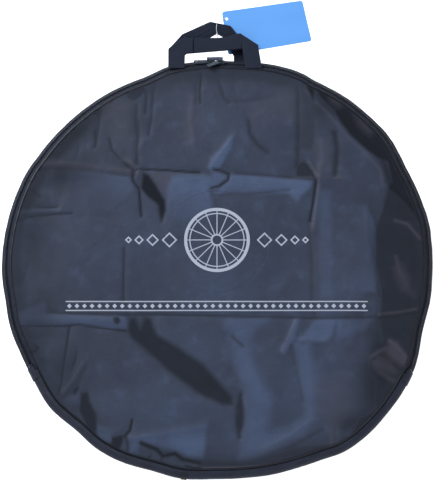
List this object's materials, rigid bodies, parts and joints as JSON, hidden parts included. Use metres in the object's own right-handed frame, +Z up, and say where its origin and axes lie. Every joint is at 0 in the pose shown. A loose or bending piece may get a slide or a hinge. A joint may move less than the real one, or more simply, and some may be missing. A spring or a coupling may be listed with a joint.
{
  "type": "bicycle wheel bag",
  "caption": "Round flat fabric bag for a bicycle wheel, with a zipped edge, a front panel that opens about a fold line, webbing carrying handles and a blank hang tag.",
  "frame": {"origin": "centre of the round back panel, on the surface that the bag lies on", "axes": "+Z up out of the front panel, +Y from the fold line towards the carrying handles, +X to the right as seen from the front"},
  "size_m": [0.714, 0.8194, 0.0322],
  "materials": {
    "panel_fabric": "coated nylon with a slight sheen",
    "panel_lining": "matt guard fabric",
    "edge_fabric": "ribbed woven strip",
    "zip_tape": "knitted tape",
    "zip_coil": "moulded nylon coil",
    "slider_metal": "dark enamel",
    "stop_metal": "dark enamel",
    "pull_metal": "grey enamel",
    "webbing": "woven webbing",
    "binding": "bias tape",
    "label_satin": "satin",
    "string": "twisted cotton",
    "tag_card": "coated card"
  },
  "bodies": {
    "bag": {"back_panel": "panel_fabric", "front_panel_lower": "panel_fabric", "back_hub_guard": "panel_lining", "back_seam_binding": "binding", "front_seam_binding_lower": "binding", "front_zip_tape_end_right": "zip_tape", "front_zip_tape_end_left": "zip_tape", "back_zip_tape": "zip_tape", "front_zip_teeth_end_right": "zip_coil", "front_zip_teeth_end_left": "zip_coil", "back_zip_teeth": "zip_coil", "zip_stop_right": "stop_metal", "zip_stop_left": "stop_metal", "zip_end_tab_right": "edge_fabric", "zip_end_tab_left": "edge_fabric", "edge_strip_right": "edge_fabric", "edge_strip_left": "edge_fabric", "edge_join_tape": "binding", "care_label": "label_satin"},
    "opening_panel": {"front_panel_upper": "panel_fabric", "front_hub_guard": "panel_lining", "front_seam_binding_upper": "binding", "front_zip_tape": "zip_tape", "front_zip_teeth": "zip_coil"},
    "right_slider": {"slider_right": "slider_metal"},
    "left_slider": {"slider_left": "slider_metal"},
    "right_pull_tab": {"pull_tab_right": "pull_metal"},
    "left_pull_tab": {"pull_tab_left": "pull_metal"},
    "front_carry_handle": {"front_handle": "webbing"},
    "rear_carry_handle": {"rear_handle": "webbing", "tag_string": "string", "string_knot": "string"},
    "tag": {"hang_tag": "tag_card"}
  },
  "joints": [
    {"name": "panel_opening", "type": "hinge", "parent": "bag", "child": "opening_panel", "pos_m": [0, -0.14, 0.024], "axis": [1, 0, 0], "range_deg": [0, 150]},
    {"name": "right_slider_travel", "type": "hinge", "parent": "bag", "child": "right_slider", "pos_m": [0, 0, 0], "axis": [0, 0, -1], "range_deg": [0, 104.8]},
    {"name": "left_slider_travel", "type": "hinge", "parent": "bag", "child": "left_slider", "pos_m": [0, 0, 0], "axis": [0, 0, 1], "range_deg": [0, 104.3]},
    {"name": "right_pull_tab_swing", "type": "hinge", "parent": "right_slider", "child": "right_pull_tab", "pos_m": [0.0074, 0.35319, 0.01832], "axis": [-0.5899, 0.5772, -0.5647], "range_deg": [0, 100]},
    {"name": "left_pull_tab_swing", "type": "hinge", "parent": "left_slider", "child": "left_pull_tab", "pos_m": [-0.01048, 0.35311, 0.01832], "axis": [-0.021, 0.7068, -0.7071], "range_deg": [0, 100]},
    {"name": "front_handle_swing", "type": "hinge", "parent": "opening_panel", "child": "front_carry_handle", "pos_m": [0, 0.34021, 0.02405], "axis": [1, 0, 0], "range_deg": [0, 185]},
    {"name": "rear_handle_swing", "type": "hinge", "parent": "bag", "child": "rear_carry_handle", "pos_m": [0, 0.34228, 0], "axis": [1, 0, 0], "range_deg": [-150, 0]},
    {"name": "hang_tag_swing", "type": "hinge", "parent": "rear_carry_handle", "child": "tag", "pos_m": [0.0167, 0.4313, 0.0012], "axis": [0, 0, 1], "range_deg": [0, 75]}
  ],
  "couplings": [
    {"joint": "right_slider_travel", "follows": "panel_opening", "ratio": 0.6986},
    {"joint": "left_slider_travel", "follows": "panel_opening", "ratio": 0.6953}
  ]
}
